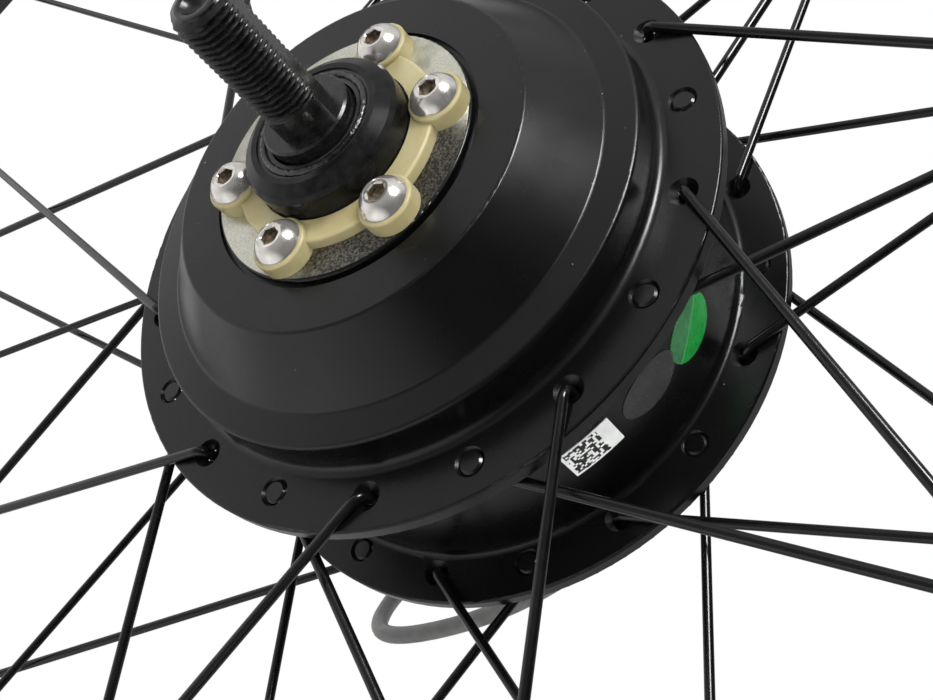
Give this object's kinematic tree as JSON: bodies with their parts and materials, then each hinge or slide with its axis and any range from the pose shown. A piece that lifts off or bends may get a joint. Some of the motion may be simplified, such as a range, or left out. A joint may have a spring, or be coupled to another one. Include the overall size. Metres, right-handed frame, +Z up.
{
  "type": "hub motor wheel",
  "caption": "Spoked rear wheel with a geared hub motor: flanged black shell, threaded axle, brake disc seat with button screws, freewheel thread and motor lead.",
  "frame": {"origin": "the centre of the wheel, on the axle line, in the middle of the rim and halfway between the two dropout faces", "axes": "+Y along the axle towards the drive side, so the wheel spins about +Y; the disc side faces -Y; +Z up"},
  "size_m": [0.6339, 0.2089, 0.634],
  "materials": {
    "blackened_steel": "black oxide steel, lightly oiled",
    "bare_steel": "ground bare steel",
    "cast_aluminium": "cast and machined aluminium",
    "lamination_steel": "stacked electrical steel, varnished",
    "copper_enamel": "enamelled copper wire",
    "circuit_board": "green glass fibre board",
    "white_nylon": "natural nylon",
    "bronze": "oiled sintered bronze",
    "magnet_plating": "nickel plated magnets",
    "satin_black_paint": "satin black paint on cast aluminium, with a bare turned brake disc seat",
    "ivory_nylon": "ivory nylon",
    "polished_steel": "polished stainless steel",
    "black_cap": "glossy black metal with turned rings and grease",
    "seal_rubber": "black nitrile rubber",
    "black_spoke": "black coated stainless wire",
    "nipple_brass": "nickel plated brass",
    "black_rim": "black anodised extrusion",
    "green_sticker": "two tone green vinyl sticker",
    "grey_sticker": "clear grey vinyl sticker",
    "white_label": "white paper label with a plain dark pattern",
    "grey_jacket": "grey cable jacket",
    "black_rubber": "black moulded rubber",
    "contact_gold": "gold plated contacts"
  },
  "bodies": {
    "axle_assembly": {"axle": "blackened_steel", "disc_side_spacer": "blackened_steel", "drive_side_sleeve": "blackened_steel", "clutch_race": "bare_steel", "clutch_rollers": "bare_steel", "stator_hub": "cast_aluminium", "stator_key": "bare_steel", "stator_core": "lamination_steel", "stator_windings": "copper_enamel", "hall_board": "circuit_board", "board_plug": "white_nylon", "planet_carrier": "bare_steel", "planet_pins": "bare_steel", "planet_circlips": "bare_steel", "disc_side_bearing_inner": "bare_steel", "drive_side_bearing_inner": "bare_steel", "rotor_bearing_inner": "bare_steel", "axle_lead": "grey_jacket", "cable_boot": "black_rubber", "motor_cable": "grey_jacket", "connector_body": "black_rubber", "connector_pins": "contact_gold", "connector_seal": "seal_rubber", "cable_clip": "black_rubber"},
    "wheel": {"hub_shell": "satin_black_paint", "side_cover": "satin_black_paint", "disc_mount_ring": "ivory_nylon", "disc_mount_screws": "polished_steel", "bearing_cap": "black_cap", "disc_side_bearing_outer": "bare_steel", "disc_side_bearing_balls": "bare_steel", "drive_side_bearing_outer": "bare_steel", "drive_side_bearing_balls": "bare_steel", "disc_side_seal": "seal_rubber", "drive_side_seal": "seal_rubber", "cover_screws": "polished_steel", "spokes_disc_side_outer": "black_spoke", "spokes_disc_side_inner": "black_spoke", "spokes_drive_side_outer": "black_spoke", "spokes_drive_side_inner": "black_spoke", "nipples": "nipple_brass", "rim": "black_rim", "green_sticker": "green_sticker", "grey_sticker": "grey_sticker", "code_label": "white_label", "ring_gear": "bare_steel"},
    "rotor": {"rotor_can": "bare_steel", "rotor_plate": "cast_aluminium", "rotor_magnets": "magnet_plating", "sun_gear": "bare_steel", "sun_bush": "bronze", "rotor_bearing_outer": "bare_steel", "rotor_bearing_balls": "bare_steel"},
    "planet_1": {"planet_gear_1": "white_nylon"},
    "planet_2": {"planet_gear_2": "white_nylon"},
    "planet_3": {"planet_gear_3": "white_nylon"}
  },
  "joints": [
    {"name": "hub_spin", "type": "hinge", "parent": "axle_assembly", "child": "wheel", "pos_m": [0, 0, 0], "axis": [0, 1, 0], "continuous": true},
    {"name": "rotor_spin", "type": "hinge", "parent": "axle_assembly", "child": "rotor", "pos_m": [0, -0.02, 0], "axis": [0, 1, 0], "continuous": true},
    {"name": "planet_1_spin", "type": "hinge", "parent": "axle_assembly", "child": "planet_1", "pos_m": [0.027, -0.034, 0], "axis": [0, 1, 0], "continuous": true},
    {"name": "planet_2_spin", "type": "hinge", "parent": "axle_assembly", "child": "planet_2", "pos_m": [-0.0135, -0.034, 0.02338], "axis": [0, 1, 0], "continuous": true},
    {"name": "planet_3_spin", "type": "hinge", "parent": "axle_assembly", "child": "planet_3", "pos_m": [-0.0135, -0.034, -0.02338], "axis": [0, 1, 0], "continuous": true}
  ],
  "couplings": [
    {"joint": "rotor_spin", "follows": "hub_spin", "ratio": -5},
    {"joint": "planet_1_spin", "follows": "hub_spin", "ratio": 2.5},
    {"joint": "planet_2_spin", "follows": "hub_spin", "ratio": 2.5},
    {"joint": "planet_3_spin", "follows": "hub_spin", "ratio": 2.5}
  ]
}
